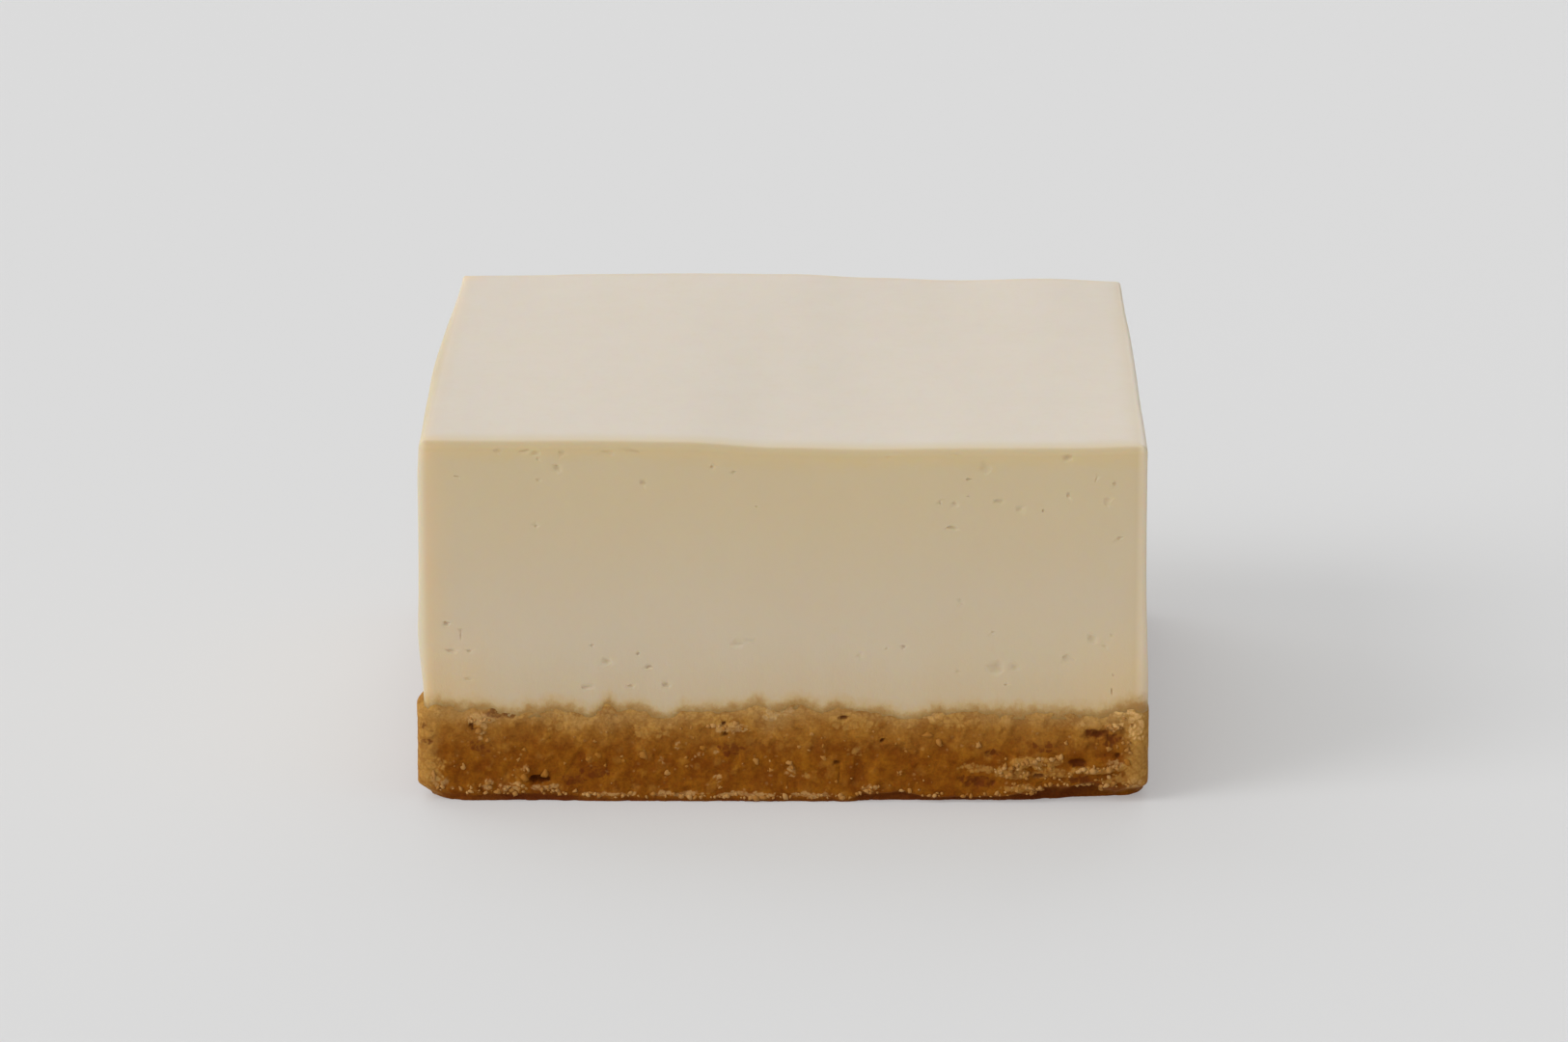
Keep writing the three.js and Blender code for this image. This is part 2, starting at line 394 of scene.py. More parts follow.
# Torn bubbles that the photograph shows on the front: (x, z, width, height, depth)
frontPits = [
    (-30.3, 31.5, 0.7, 0.2, 0.05),
    (-26.4, 33.95, 1.0, 0.5, 0.05),
    (-23.9, 34.0, 1.1, 0.3, 0.05),
    (-22.9, 33.8, 0.9, 0.4, 0.05),
    (-22.8, 33.2, 0.3, 0.25, 0.08),
    (-20.5, 33.7, 1.0, 0.6, 0.05),
    (-20.9, 32.3, 0.9, 0.55, 0.06),
    (-16.2, 33.8, 1.2, 0.4, 0.05),
    (-14.1, 34.05, 2.2, 0.35, 0.05),
    (-13.0, 30.9, 0.6, 0.6, 0.06),
    (-6.5, 32.5, 0.5, 0.3, 0.05),
    (-4.5, 32.0, 0.5, 0.35, 0.05),
    (9.9, 33.5, 0.6, 0.3, 0.05),
    (16.1, 33.8, 1.4, 0.35, 0.04),
    (17.4, 31.4, 0.6, 0.3, 0.08),
    (19.0, 32.5, 1.1, 1.0, 0.04),
    (14.7, 29.2, 0.3, 0.35, 0.05),
    (16.1, 29.0, 0.6, 0.4, 0.04),
    (20.1, 29.3, 0.9, 0.4, 0.06),
    (22.1, 28.5, 0.85, 0.45, 0.045),
    (24.3, 28.4, 0.3, 0.3, 0.07),
    (26.6, 29.8, 0.4, 0.6, 0.05),
    (26.4, 33.5, 1.2, 0.8, 0.085),
    (29.2, 31.4, 0.2, 0.6, 0.05),
    (30.9, 31.0, 0.35, 0.4, 0.07),
    (30.2, 29.3, 0.8, 0.7, 0.04),
    (15.9, 26.7, 1.2, 0.5, 0.09),
    (31.5, 25.8, 0.7, 0.35, 0.07),
    (16.7, 19.6, 0.6, 0.6, 0.04),
    (-31.4, 17.3, 0.65, 0.5, 0.07),
    (-30.1, 16.3, 0.2, 0.9, 0.05),
    (-31.0, 14.7, 0.9, 0.35, 0.06),
    (-29.3, 14.7, 0.5, 0.3, 0.05),
    (-16.5, 13.7, 1.4, 0.6, 0.11),
    (-12.5, 13.2, 0.8, 0.4, 0.06),
    (-13.5, 14.5, 0.4, 0.35, 0.06),
    (-18.3, 11.2, 1.0, 0.4, 0.05),
    (-14.1, 11.3, 0.7, 0.4, 0.06),
    (-10.9, 11.5, 0.8, 0.5, 0.06),
    (-29.5, 12.0, 1.0, 0.3, 0.05),
    (11.4, 15.2, 0.7, 0.45, 0.08),
    (7.3, 14.4, 0.5, 0.7, 0.03),
    (20.0, 13.5, 1.9, 1.5, 0.06),
    (21.8, 13.3, 1.0, 0.7, 0.05),
    (16.4, 12.9, 0.7, 0.4, 0.035),
    (29.0, 16.0, 1.0, 0.75, 0.045),
    (30.1, 15.4, 0.8, 0.3, 0.04),
    (26.8, 14.2, 1.1, 0.8, 0.035),
    (31.0, 12.6, 0.3, 0.25, 0.06),
    (30.9, 11.0, 0.25, 0.5, 0.06),
    (-4.2, 15.4, 1.4, 0.3, 0.035),
    (-3.0, 15.7, 1.2, 0.25, 0.03),
]


# Outward push of the filling's wall at a point, whose way out is given
def wallPush(point, way):
    seam, top = slab["seam"], slab["top"]
    spread = slab["flare"] * ease(seam + cheese["spreadHeight"] - point.z, 0, cheese["spreadHeight"])
    drawn = cheese["leftTaper"] * ease(seam + cheese["taperHeight"] - point.z, 0, cheese["taperHeight"])
    drawn += cheese["leftShoulder"] * ease(point.z, top - cheese["shoulderHeight"], top)
    bowed = cheese["leftBow"] * ease(point.z, top - cheese["bowHeight"], top)
    drawn -= bowed * bump(point.y / cheese["bowReach"])
    spread -= drawn * max(-way.x, 0)
    spread -= cheese["backTaper"] * abs(way.x) * ease(point.y, -5, slab["side"])
    tucked = cheese["tuck"] * ease(seamHeight(point) - 1.0 - point.z, 0, cheese["tuck"])
    wave = cheese["waveHeight"] * lumps(point, cheese["waveSize"], 3.1)
    ripple = cheese["rippleHeight"] * lumps(point, cheese["rippleSize"], 7.7)
    return spread - tucked + wave + ripple


# How much the top stands over its mean height at a point
def topRise(point):
    front, back = between(topEdges, point.x)
    return front + (back - front) * ease(point.y, -slab["side"], slab["side"]) + 0.04 * lumps(point, 17)


# The filling before its bubbles are torn: a rounded block with a fine grid on it, pushed into shape
def cheeseBlock():
    side, foot, top = slab["side"], cheese["foot"], slab["top"]
    step = cheese["gridStep"]
    bm = bmesh.new()
    bmesh.ops.create_cube(bm, size=1)
    bmesh.ops.scale(bm, vec=(2 * side, 2 * side, top - foot), verts=bm.verts)
    bmesh.ops.translate(bm, vec=(0, 0, (top + foot) / 2), verts=bm.verts)
    rounded = {"offset": cheese["edgeRound"], "segments": 4, "profile": 0.5, "material": -1}
    bmesh.ops.bevel(bm, geom=bm.edges[:], affect="EDGES", **rounded)
    for lying, span in ((True, 2 * side), (False, top - foot)):
        long = [edge for edge in bm.edges if edge.calc_length() > step * 1.5]
        along = [edge for edge in long if (abs(edge.verts[0].co.z - edge.verts[1].co.z) < 0.1) == lying]
        bmesh.ops.subdivide_edges(bm, edges=along, cuts=round(span / step) - 1, use_grid_fill=True)
    inner = side - cheese["edgeRound"]
    for vert in bm.verts:
        core = Vector([min(max(place, -inner), inner) for place in vert.co])
        out = vert.co - core
        out.z = 0
        way = out.normalized()
        push = wallPush(vert.co, way) * out.length / cheese["edgeRound"]
        rise = topRise(vert.co) * ease(vert.co.z, foot, top)
        vert.co += way * push
        vert.co.z += rise
    return bm


# One torn bubble, turned to face a side of the slice: an uneven ball whose middle lies outside the wall
def addPit(bm, turn, x, z, wide, high, deep, seed):
    ball = bmesh.ops.create_icosphere(bm, subdivisions=2, radius=cheese["pitBall"])["verts"]
    for vert in ball:
        vert.co *= 1 + cheese["pitRough"] * lumps(vert.co, 0.5, seed)
    surface = Vector((x, -slab["side"], z))
    surface.y -= wallPush(turn @ surface, turn @ Vector((0, -1, 0))) + cheese["pitOut"] * deep
    bmesh.ops.scale(bm, vec=(wide, cheese["pitThick"] * deep, high), verts=ball)
    tilt = cheese["pitTilt"] * math.sin(seed * 5)
    bmesh.ops.rotate(bm, matrix=Matrix.Rotation(tilt, 3, "Y"), verts=ball)
    bmesh.ops.translate(bm, vec=surface, verts=ball)
    bmesh.ops.transform(bm, matrix=turn.to_4x4(), verts=ball)


# Balls for all the torn bubbles: those of the photograph on the front, and random ones on every side
def pitCutters():
    bm = bmesh.new()
    highest, down = cheese["highPits"]
    lowest, up = cheese["lowPits"]
    for quarter in range(4):
        turn = Matrix.Rotation(quarter * math.pi / 2, 3, "Z")
        draw = random.Random(70 + quarter)
        pits = list(frontPits) if quarter == 0 else []
        count = len(pits) + (cheese["pitsPerSide"] if quarter else cheese["frontPitsAdded"])
        least, most = cheese["pitWidths"] if quarter else cheese["frontPitWidths"]
        while len(pits) < count:
            x = draw.uniform(-cheese["pitReach"], cheese["pitReach"])
            z = draw.choice([highest - draw.random() ** 1.8 * down, lowest + draw.random() ** 1.5 * up])
            wide = least + (most - least) * draw.random() ** 2
            high = wide * draw.uniform(0.35, 0.9)
            if all(math.hypot(x - other[0], z - other[1]) > (wide + other[2]) * 0.75 for other in pits):
                pits.append((x, z, wide, high, 0.03 + 0.09 * high))
        for x, z, wide, high, deep in pits:
            addPit(bm, turn, x, z, wide, 1.15 * high, cheese["pitDepth"] * deep, draw.uniform(0, 50))
    return bm


# The filling's colour: creamy on its walls, buttery near the top and the corners (partly the baked
# colour, partly painted subsurface glow), pale on the top
def cheeseColour(look, over):
    side = slab["side"]
    fromTop = look.attribute("fromTop")
    far, near = abs(look.x).most(abs(look.y)), abs(look.x).least(abs(look.y))
    onTop = fromTop.between(-0.6, -0.05)
    cloud = look.grain(9, 2)
    fine = look.grain(0.9, 4, 0.6)
    # Buttery near the vertical corners and below the top: partly the baked colour, partly painted
    # subsurface glow
    cornerGlow = near.between(side - 4.0, side + 0.3) * 0.5
    streak = look.grain(0.7, 3, 0.6, look.stretched(0.35, 0.35, 1))
    topBand = (fromTop + (cloud - 0.5) * 1.2 + (streak - 0.5) * 2).between(-2.4, -0.5) * 0.5
    topBand = topBand + fromTop.between(-19, -2) * 0.57
    lowRight = look.x.between(2, 28) * (1 - over.between(5, 15)) * 0.25
    colour = look.mix(cornerGlow.most(topBand).most(lowRight), cheese["cream"], cheese["butter"])
    rim = far.between(side - 2.5, side) * 0.35
    frontRim = (1 - look.y.between(0.5 - side, 4 - side)) * 0.7
    colour = look.mix(onTop, colour, look.mix(rim.most(frontRim), cheese["skin"], cheese["butter"]))
    # Rounded top edges: painted shade, strongest on the lit left one, and painted light on the right
    # one, which lies in shade
    edge = far.between(side - 0.9, side - 0.1) * fromTop.between(-1.1, -0.2)
    leftRim = 1 - look.x.between(0.8 - side, 2 - side)
    rightRim = look.x.between(side - 1.2, side - 0.5) * look.y.between(0.4 - side, 1.6 - side)
    edgeShadeAndLight = look.mix(rightRim, cheese["edge"], cheese["rightEdgeLight"])
    colour = look.mix(edge * (0.5 + (leftRim + rightRim) * 0.4), colour, edgeShadeAndLight)
    colour = look.mix(cloud.between(0.35, 0.75) * (0.16 - onTop * 0.14), colour, cheese["cloud"])
    colour = look.mix(fine.between(0.5, 0.75) * 0.09, colour, cheese["speckle"])
    onRight = look.x.between(-1, 1)
    # Warmer near the left corners and low down near the corners: partly the baked colour, partly
    # painted subsurface glow
    leftCorner = near.between(side - 4.2, side) * (1 - onRight) * 0.4
    lowCorner = near.between(side - 9, side - 3) * (1 - over.between(1, 10)) * 0.4
    colour = look.mix(leftCorner.most(lowCorner), colour, cheese["glow"])
    # Vertical corners: painted light on the right ones, which lie in shade, and a greenish haze on the
    # left ones
    corner = near.between(side - 1.1, side - 0.1) * (0.65 + onRight * 0.15)
    return look.mix(corner, colour, look.mix(onRight, cheese["haze"], cheese["shadedCornerLight"]))


def cheeseFinish():
    look = Finish("bakedCream")
    over = look.attribute("overSeam")
    ragged = raggedSeam(look, over)
    # Painted shade in the torn bubbles, darker the deeper they go
    colour = look.mix(look.attribute("pit") * 0.4, cheeseColour(look, over), cheese["pit"])
    colour = look.mix((1 - over.between(-0.5, 6.5)) * 0.24, colour, cheese["smear"])
    colour = look.mix((1 - ragged.between(-0.3, 1.3)) * 0.75, colour, cheese["smear"])
    colour = look.mix((1 - ragged.between(-0.6, 0.5)) * 0.95, colour, cheese["mingled"])
    low = 1 - look.z.between(slab["seam"], slab["seam"] + 13)
    brushed = look.grain(0.5, 3, 0.6, look.stretched(1, 1, 0.45))
    relief = brushed * (0.15 + low * 0.7) + look.grain(0.16, 2, 0.5) * 0.12
    relief = relief + look.grain(0.35, 3, 0.6) * (1 - ragged.between(-0.8, 0.8)) * 2
    roughness = cheese["roughness"] + look.grain(3, 3) * 0.16
    normal = look.bumpMap(relief, cheese["bumpDepth"])
    soft = {
        "Subsurface Weight": 0.55,
        "Subsurface Radius": (1.0, 0.55, 0.22),
        "Subsurface Scale": 0.002,
        "IOR": 1.45,
        "Diffuse Roughness": 0.3,
    }
    return look.close(colour, roughness, normal, soft)


# Millimetres over the seam, made ragged alike on both sides of it
def raggedSeam(look, over):
    return over + (look.grain(0.9, 4, 0.65) - 0.5) * 1.6


# How deep a point lies in a torn bubble of the wall, as a share of a deep one: the share of painted
# shade there
def pitShare(point):
    near, far = sorted((abs(point.x), abs(point.y)))
    if abs(point.x) == far:
        way = Vector((math.copysign(1, point.x), 0, 0))
    else:
        way = Vector((0, math.copysign(1, point.y), 0))
    depth = slab["side"] + wallPush(point, way) - far
    inBand = slab["seam"] + 1.2 < point.z < slab["top"] + topRise(point) - 0.65
    onWall = near < slab["side"] - 1 and depth < 1
    return ease(depth, *cheese["pitShade"]) if inBand and onWall else 0.0


def makeCheeseFilling():
    finish = cheeseFinish()
    filling = makePiece("cheeseFilling", cheeseBlock(), finish)
    cutter = makePiece("pitCutters", pitCutters(), finish)
    cut = filling.modifiers.new("pits", "BOOLEAN")
    cut.operation = "DIFFERENCE"
    cut.solver = "EXACT"
    cut.object = cutter
    bpy.context.view_layer.update()
    done = bpy.data.meshes.new_from_object(filling.evaluated_get(bpy.context.evaluated_depsgraph_get()))
    filling.modifiers.clear()
    filling.data = done
    bpy.data.objects.remove(cutter)
    points = [vert.co / mm for vert in done.vertices]
    keep(done, "overSeam", [point.z - seamHeight(point) for point in points])
    keep(done, "fromTop", [point.z - slab["top"] - topRise(point) for point in points])
    keep(done, "pit", [pitShare(point) for point in points])
    done.shade_smooth()
    done.set_sharp_from_angle(angle=math.radians(cheese["sharpAngle"]))
    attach(filling, "root")
    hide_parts("cheese_filling")
    print("filling:", len(done.polygons), "faces")


crumb = {
    "stand": 0.46,  # how far the cut crumbs stand out from the slice's side
    "leftDrawn": 0.7,  # how far the left side lies in behind its front end
    "cornerRadius": 1.1,
    "foot": 0.06,  # height of the lowest crumbs of the wall over the table
    "columnStep": 0.21,
    "rowStep": 0.2,
    "wallTop": 11.6,
    "footShare": 0.997,  # the ring that it stands on, as a share of the wall's width
    "innerFoot": 0.8,  # the ring inside that one, as a share of the wall's width
    "innerTop": 0.87,  # the ring hidden in the filling, as a share of the outline's width
    "wearFrom": 20,  # the lower edge is worn from this far off the middle out to the wall
    "wearReach": 14,
    "wearBlend": 0.12,  # height over which the worn edge ends
    "behind": 0.35,  # how far the hidden top lies behind the wall of the filling
    "sideCalm": 0.8,  # how much calmer the left and right sides are near the front
    "calmSpan": (22, 32),
    "clumps": [(2.0, 0.18, 0.10, 0.11), (0.9, 0.16, 0.08, 0.07)],  # size, gap between, step and groove
    "swellSize": 4.5,
    "swellHeight": 0.1,
    "fineSize": 0.45,
    "fineHeight": 0.045,
    "pockSize": 0.8,
    "pockDepth": 0.1,
    "markEnds": 31.5,  # how far along the unseen sides their marks lie
    "markHeights": (1.8, 7.4),
    "roughness": 0.55,
    "bumpDepth": 0.03,
    "dark": (0.20, 0.053, 0.001, 1),
    "amber": (0.32, 0.113, 0.005, 1),
    "golden": (0.47, 0.23, 0.04, 1),
    "tan": (0.57, 0.345, 0.115, 1),
    "mist": (0.47, 0.26, 0.075, 1),
    "bead": (0.51, 0.28, 0.095, 1),
    "pale": (0.60, 0.36, 0.14, 1),
    "gilt": (0.52, 0.28, 0.065, 1),
    # dark crumb, and painted shade in holes, hollows and the worn undercut
    "burntAndShaded": (0.12, 0.022, 0.002, 1),
    "milky": (0.60, 0.44, 0.24, 1),
    # pale crumb, and painted light on the right corner, which lies in shade
    "strawAndLit": (0.80, 0.49, 0.19, 1),
    "shaded": (0.80, 0.76, 0.7, 1),
    "lit": (1.05, 1.05, 1.05, 1),
}

# How strongly each kind of mark takes its colour
tints = {"pale": 0.6, "gilt": 0.5, "burntAndShaded": 0.7, "milky": 0.3, "strawAndLit": 0.75}

# Marks on the front of the crumb, as photographed: (x, z, half width, half height, push out, tint)
# The dark marks are dark crumb with painted shade in the holes, fissures and hollows under clumps
frontMarks = [
    (-33.7, 7.3, 0.7, 0.5, -0.05, "burntAndShaded"),
    (-33.6, 2.8, 1.0, 2.0, 0.0, "gilt"),
    (-33.4, 5.7, 0.6, 0.5, -0.05, "burntAndShaded"),
    (-33.1, 2.6, 1.4, 1.0, 0.0, "gilt"),
    (-33.0, 9.5, 1.0, 0.7, 0.0, "gilt"),
    (-32.9, 7.0, 0.4, 0.4, -0.1, "burntAndShaded"),
    (-32.6, 3.7, 1.4, 0.8, 0.0, "gilt"),
    (-32.4, 2.0, 1.0, 0.7, 0.0, "pale"),
    (-31.3, 9.8, 0.5, 0.5, 0.0, "gilt"),
    (-29.4, 1.3, 0.6, 0.45, 0.15, "gilt"),
    (-29.2, 7.4, 0.3, 0.3, -0.4, "burntAndShaded"),
    (-28.9, 7.0, 0.4, 0.3, -0.4, "burntAndShaded"),
    (-28.4, 8.1, 1.7, 0.9, 0.15, "pale"),
    (-28.3, 5.4, 1.2, 0.8, 0.0, "burntAndShaded"),
    (-28.2, 6.5, 0.7, 0.7, 0.15, "pale"),
    (-27.7, 1.7, 0.8, 0.65, 0.2, "pale"),
    (-27.0, 9.0, 1.0, 0.4, 0.12, "burntAndShaded"),
    (-26.2, 1.5, 0.6, 0.5, 0.2, "pale"),
    (-26.2, 8.7, 2.2, 0.6, 0.0, "burntAndShaded"),
    (-25.3, 8.7, 1.2, 0.4, 0.14, "burntAndShaded"),
    (-25.0, 1.6, 0.7, 0.55, 0.2, "pale"),
    (-24.1, 3.2, 0.5, 0.5, 0.22, "pale"),
    (-22.9, 2.2, 1.1, 0.5, -1.0, "burntAndShaded"),
    (-22.4, 1.4, 1.8, 0.4, 0.15, "pale"),
    (-21.3, 9.4, 0.7, 0.7, 0.0, "gilt"),
    (-21.2, 7.6, 1.4, 0.9, 0.0, "gilt"),
    (-19.6, 2.2, 1.8, 0.7, 0.0, "burntAndShaded"),
    (-17.6, 2.9, 1.6, 0.7, 0.0, "burntAndShaded"),
    (-16.5, 0.8, 3.4, 0.3, 0.04, "pale"),
    (-16.3, 9.9, 0.8, 0.9, 0.0, "gilt"),
    (-13.8, 9.1, 1.1, 0.8, 0.0, "gilt"),
    (-12.3, 7.0, 2.2, 0.9, 0.0, "gilt"),
    (-11.2, 4.2, 0.5, 0.45, 0.05, "pale"),
    (-9.8, 0.8, 3.4, 0.3, 0.04, "pale"),
    (-9.7, 5.5, 0.55, 0.55, 0.06, "pale"),
    (-7.8, 4.6, 0.45, 0.45, 0.06, "pale"),
    (-6.5, 7.8, 2.0, 0.7, 0.0, "gilt"),
    (-6.3, 5.0, 0.8, 0.2, 0.05, "pale"),
    (-6.0, 2.3, 0.6, 0.5, 0.06, "pale"),
    (-5.5, 7.7, 0.3, 0.25, -0.4, "burntAndShaded"),
    (-5.4, 6.7, 0.4, 0.3, -0.5, "burntAndShaded"),
    (-4.9, 7.3, 2.0, 0.6, 0.12, "pale"),
    (-4.8, 5.1, 1.4, 0.9, 0.0, "burntAndShaded"),
    (-3.2, 0.8, 3.4, 0.3, 0.04, "pale"),
    (-1.0, 8.6, 1.0, 0.8, 0.0, "milky"),
    (0.4, 9.0, 1.0, 0.8, 0.0, "milky"),
    (0.9, 3.0, 0.6, 0.75, 0.06, "pale"),
    (1.4, 9.3, 0.4, 0.3, -0.35, "burntAndShaded"),
    (2.4, 2.6, 0.5, 0.6, 0.05, "gilt"),
    (3.4, 0.75, 3.0, 0.3, 0.04, "pale"),
    (5.2, 3.9, 0.45, 0.35, -0.5, "burntAndShaded"),
    (5.4, 3.0, 0.22, 0.9, -0.2, "burntAndShaded"),
    (5.8, 8.3, 0.8, 0.25, -0.35, "burntAndShaded"),
    (6.3, 7.9, 2.6, 0.9, 0.0, "gilt"),
    (7.0, 5.0, 1.0, 0.6, 0.0, "gilt"),
    (8.4, 1.5, 1.1, 0.5, 0.15, "pale"),
    (8.7, 9.3, 1.2, 0.5, 0.0, "milky"),
    (9.3, 6.1, 0.3, 0.35, -0.45, "burntAndShaded"),
    (11.1, 3.1, 0.5, 0.35, 0.1, "pale"),
    (13.2, 5.3, 0.4, 0.35, 0.08, "gilt"),
    (13.8, 8.7, 1.6, 0.7, 0.0, "pale"),
    (15.6, 8.2, 2.2, 0.9, 0.0, "gilt"),
    (18.2, 3.5, 2.0, 0.5, 0.1, "gilt"),
    (18.4, 2.1, 2.2, 0.8, -0.25, "burntAndShaded"),
    (19.8, 4.9, 0.9, 0.6, -0.25, "burntAndShaded"),
    (21.5, 3.1, 2.6, 0.7, 0.2, "gilt"),
    (22.7, 1.5, 2.4, 0.5, 0.2, "gilt"),
    (23.2, 4.0, 3.6, 0.75, 0.35, "gilt"),
    (24.1, 2.75, 0.8, 0.4, -0.5, "burntAndShaded"),
    (24.6, 3.0, 2.6, 0.7, 0.2, "gilt"),
    (24.6, 5.6, 1.2, 0.7, 0.0, "burntAndShaded"),
    (27.9, 4.0, 1.4, 0.5, -0.45, "burntAndShaded"),
    (28.0, 2.3, 1.6, 0.5, -0.12, "burntAndShaded"),
    (28.4, 7.8, 0.8, 0.5, 0.0, "pale"),
    (29.1, 6.9, 1.2, 0.65, -0.25, "burntAndShaded"),
    (29.6, 3.3, 3.0, 0.5, 0.35, "gilt"),
    (30.1, 6.9, 1.0, 0.45, -0.3, "burntAndShaded"),
    (30.5, 4.75, 0.3, 0.3, -0.4, "burntAndShaded"),
    (30.8, 5.8, 1.0, 0.5, -0.1, "burntAndShaded"),
    (31.0, 6.5, 1.0, 0.5, -0.3, "burntAndShaded"),
    # the straw marks about the right corner are pale crumb with painted light where the corner lies in
    # shade
    (31.2, 7.6, 1.1, 0.5, 0.3, "strawAndLit"),
    (31.3, 3.95, 1.3, 0.4, 0.15, "pale"),
    (31.4, 2.2, 1.8, 0.5, 0.12, "gilt"),
    (31.5, 4.7, 0.35, 0.3, -0.45, "burntAndShaded"),
    (31.5, 8.9, 1.6, 0.5, 0.0, "pale"),
    (32.4, 9.4, 1.8, 0.9, 0.0, "strawAndLit"),
    (32.8, 7.0, 1.0, 1.4, 0.05, "gilt"),
    (33.0, 3.2, 1.6, 1.4, 0.0, "gilt"),
    (33.4, 1.9, 1.0, 0.7, 0.0, "pale"),
    (33.6, 6.9, 1.0, 0.9, 0.0, "strawAndLit"),
    (33.7, 8.2, 1.4, 1.6, 0.0, "strawAndLit"),
    (33.7, 5.2, 1.6, 3.6, 0.0, "gilt"),
]


# Marks of the same kinds for a side that the photograph doesn't show
def otherMarks(quarter):
    draw = random.Random(400 + quarter)
    kinds = [  # how many, their half widths and half heights, push out and tint
        # the dark kinds are dark crumb with painted shade in pushed-in hollows
        (6, (0.4, 1.6), (0.3, 0.6), -0.4, "burntAndShaded"),
        (4, (1.0, 2.2), (0.5, 0.7), 0.25, "gilt"),
        (10, (0.4, 0.8), (0.4, 0.7), 0.08, "pale"),
        (8, (0.5, 1.4), (0.5, 1.0), 0.02, "gilt"),
        (5, (0.8, 2.2), (0.2, 0.3), -0.3, "burntAndShaded"),
    ]
    ends, heights = crumb["markEnds"], crumb["markHeights"]
    marks = []
    for count, wide, high, out, tint in kinds:
        for _ in range(count):
            place = (draw.uniform(-ends, ends), draw.uniform(*heights))
            size = (draw.uniform(*wide), draw.uniform(*high))
            marks.append((*place, *size, out * draw.uniform(0.6, 1.1), tint))
    return marks + [(corner, 4.9, 1.0, 4.4, 0.0, "gilt") for corner in (-33.5, 33.5)]


# Marks sorted into strips 4 mm wide, so that a point asks only the marks near it
def inStrips(marks):
    strips = {}
    for mark in marks:
        reach = 1.15 * mark[2] + 0.4
        for strip in range(math.floor((mark[0] - reach) / 4), math.floor((mark[0] + reach) / 4) + 1):
            strips.setdefault(strip, []).append(mark)
    return strips


sideMarks = [frontMarks, *(otherMarks(quarter) for quarter in (1, 2, 3))]
sideStrips = [inStrips(marks) for marks in sideMarks]

# The worn lower edge along each side: (place, height and depth of the hollow, its softness, the painted
# shade in it)
lowerEdges = [
    [
        (-34, 1.7, 1.5, 1.7, 0),
        (-32.2, 1.1, 0.4, 1.0, 0.2),
        (-30.5, 0.8, 0.15, 0.3, 0.6),
        (-26, 0.8, 0.4, 0.3, 0.9),
        (-20, 0.75, 0.25, 0.3, 0.9),
        (-18, 0.45, 0.15, 0.3, 0.5),
        (6, 0.4, 0.25, 0.3, 0.5),
        (8, 1.0, 0.7, 0.4, 0.8),
        (12, 1.0, 0.85, 0.4, 0.8),
        (14, 0.5, 0.8, 0.3, 0.7),
        (20, 0.6, 0.9, 0.3, 0.7),
        (22.8, 0.9, 1.1, 0.4, 0.9),
        (26, 1.9, 1.5, 0.9, 0.8),
        (28.6, 2.0, 2.2, 1.1, 0.8),
        (31, 1.7, 2.4, 1.2, 0.5),
        (32.6, 1.6, 2.5, 1.5, 0.1),
        (34, 1.6, 2.6, 1.5, 0),
    ],
    [(-34, 2.4, 0.9, 2.2, 0), (-31, 1.2, 0.3, 0.8, 0.3), (34, 0.5, 0.3, 0.3, 0.7)],
    [(-34, 0.5, 0.3, 0.3, 0.7), (34, 0.6, 0.4, 0.3, 0.7)],
    [(-34, 0.6, 0.4, 0.3, 0.7), (16, 0.7, 0.5, 0.6, 0.7), (34, 1.7, 1.3, 1.7, 0.1)],
]

# Rows of grains where crumbs have broken off the front: both ends, then the grains a millimetre
frontRows = [
    ((20.8, 4.0), (22.3, 3.8), 9),
    ((22.3, 3.8), (23.2, 4.2), 9),
    ((23.2, 4.2), (26.4, 4.5), 10),
    ((19.6, 3.4), (21.9, 2.6), 6),
    ((21.9, 2.6), (23.2, 3.0), 7),
    ((23.4, 3.0), (26.4, 2.1), 8),
    ((20.5, 3.3), (25.5, 3.5), 3),
    ((26.8, 2.6), (28.7, 3.4), 12),
    ((28.7, 3.4), (30.2, 3.3), 12),
    ((30.2, 3.3), (32.1, 3.8), 11),
    ((26.8, 2.1), (31.5, 2.7), 3),
    ((21.0, 1.5), (21.9, 1.9), 8),
    ((21.9, 1.9), (24.6, 1.1), 7),
    ((27.8, 1.7), (31.1, 1.6), 4),
    ((-29.5, 8.0), (-27.4, 8.1), 8),
    ((-28.8, 7.3), (-27.7, 6.2), 9),
    ((-29.6, 1.2), (-27.2, 1.7), 5),
    ((-26.6, 1.4), (-24.6, 1.5), 5),
    ((-24.3, 3.2), (-23.8, 3.2), 8),
    ((-22.8, 1.4), (-20.6, 1.1), 7),
    ((-18.3, 0.9), (-17.3, 0.8), 6),
    ((-6.8, 7.4), (-3.4, 7.5), 4),
    ((30.2, 7.7), (31.8, 7.4), 14),
    ((28.6, 7.3), (29.3, 7.4), 6),
    ((32.0, 8.1), (33.2, 7.6), 6),
    ((32.1, 6.0), (33.2, 6.2), 5),
    ((32.4, 5.3), (32.9, 4.9), 6),
    ((7.6, 1.4), (9.4, 1.7), 4),
]


# Rows of grains for a side that the photograph doesn't show
def otherRows(quarter):
    draw = random.Random(500 + quarter)
    rows = []
    for _ in range(9):
        x, z = draw.uniform(-32, 27), draw.uniform(1.6, 8.0)
        rows.append(((x, z), (x + draw.uniform(1, 5), z + draw.uniform(-0.4, 0.4)), draw.uniform(3, 6)))
    return rows


